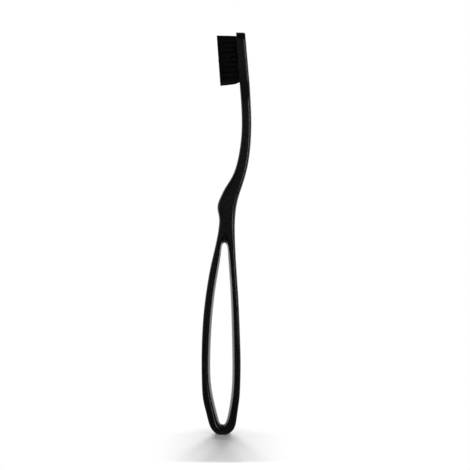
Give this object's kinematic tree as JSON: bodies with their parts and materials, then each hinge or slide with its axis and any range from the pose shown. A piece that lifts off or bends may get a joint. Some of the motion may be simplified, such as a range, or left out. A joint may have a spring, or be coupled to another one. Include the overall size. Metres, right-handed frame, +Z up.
{
  "type": "manual toothbrush",
  "caption": "Manual toothbrush with a slim bent neck and a handle that splits into one long closed loop.",
  "frame": {"origin": "centre of the small flat under the loop, on the middle plane of the brush", "axes": "+Z up the brush from the loop to the head; bristles point to -X; +Y across the brush's width"},
  "size_m": [0.0236, 0.0106, 0.19],
  "materials": {
    "handle": "satin black moulding",
    "bristles": "black nylon filaments",
    "anchors": "plain rolled strip"
  },
  "bodies": {
    "root": {"anchors_column_1": "anchors", "anchors_column_2": "anchors", "anchors_column_3": "anchors", "anchors_column_4": "anchors", "handle_body": "handle", "tuft_c1_01": "bristles", "tuft_c1_02": "bristles", "tuft_c1_03": "bristles", "tuft_c1_04": "bristles", "tuft_c1_05": "bristles", "tuft_c1_06": "bristles", "tuft_c1_07": "bristles", "tuft_c1_08": "bristles", "tuft_c1_09": "bristles", "tuft_c2_01": "bristles", "tuft_c2_02": "bristles", "tuft_c2_03": "bristles", "tuft_c2_04": "bristles", "tuft_c2_05": "bristles", "tuft_c2_06": "bristles", "tuft_c2_07": "bristles", "tuft_c2_08": "bristles", "tuft_c2_09": "bristles", "tuft_c2_10": "bristles", "tuft_c3_01": "bristles", "tuft_c3_02": "bristles", "tuft_c3_03": "bristles", "tuft_c3_04": "bristles", "tuft_c3_05": "bristles", "tuft_c3_06": "bristles", "tuft_c3_07": "bristles", "tuft_c3_08": "bristles", "tuft_c3_09": "bristles", "tuft_c3_10": "bristles", "tuft_c4_01": "bristles", "tuft_c4_02": "bristles", "tuft_c4_03": "bristles", "tuft_c4_04": "bristles", "tuft_c4_05": "bristles", "tuft_c4_06": "bristles", "tuft_c4_07": "bristles", "tuft_c4_08": "bristles", "tuft_c4_09": "bristles"}
  },
  "joints": []
}
